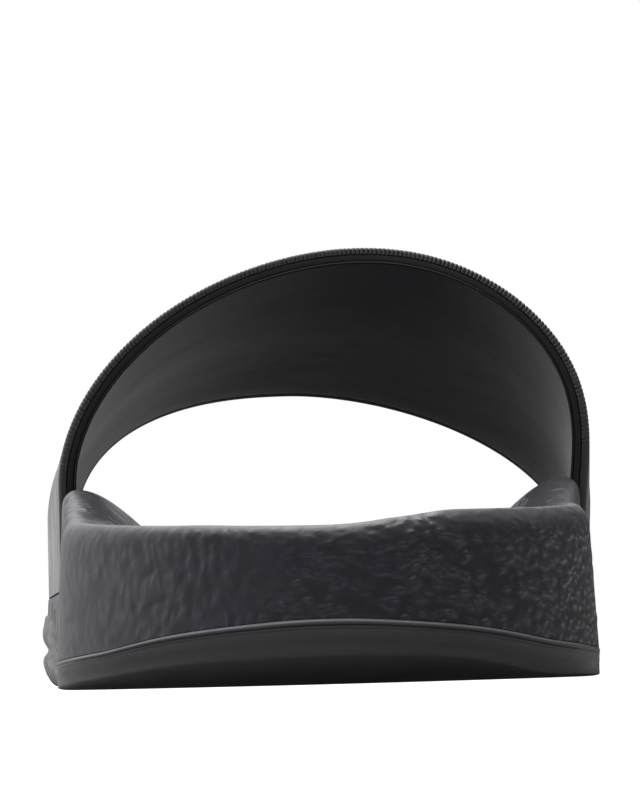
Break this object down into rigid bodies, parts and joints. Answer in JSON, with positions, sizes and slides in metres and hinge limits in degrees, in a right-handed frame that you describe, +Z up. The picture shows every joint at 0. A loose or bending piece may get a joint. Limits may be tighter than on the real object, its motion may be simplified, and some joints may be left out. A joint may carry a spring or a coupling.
{
  "type": "slide sandal",
  "caption": "Slide sandal with a dished, moulded footbed on a thin rubber outsole and one broad band over the instep, open at the heel and the toes.",
  "frame": {"origin": "middle of the sandal's footprint box, on the floor", "axes": "+Y along the sole towards the toes, +X towards the inner side of the foot, +Z up"},
  "size_m": [0.0964, 0.2594, 0.0682],
  "materials": {
    "outsole_rubber": "black moulded rubber, smooth at the heel bevel and satin on the ribbed side",
    "footbed_foam": "black moulded foam with a pebbled, creased leather grain and a smoother rim",
    "strap_leather": "black synthetic band, finely ribbed outside and smooth with a soft sheen inside"
  },
  "bodies": {
    "root": {"outsole": "outsole_rubber", "footbed": "footbed_foam", "strap": "strap_leather"}
  },
  "joints": []
}
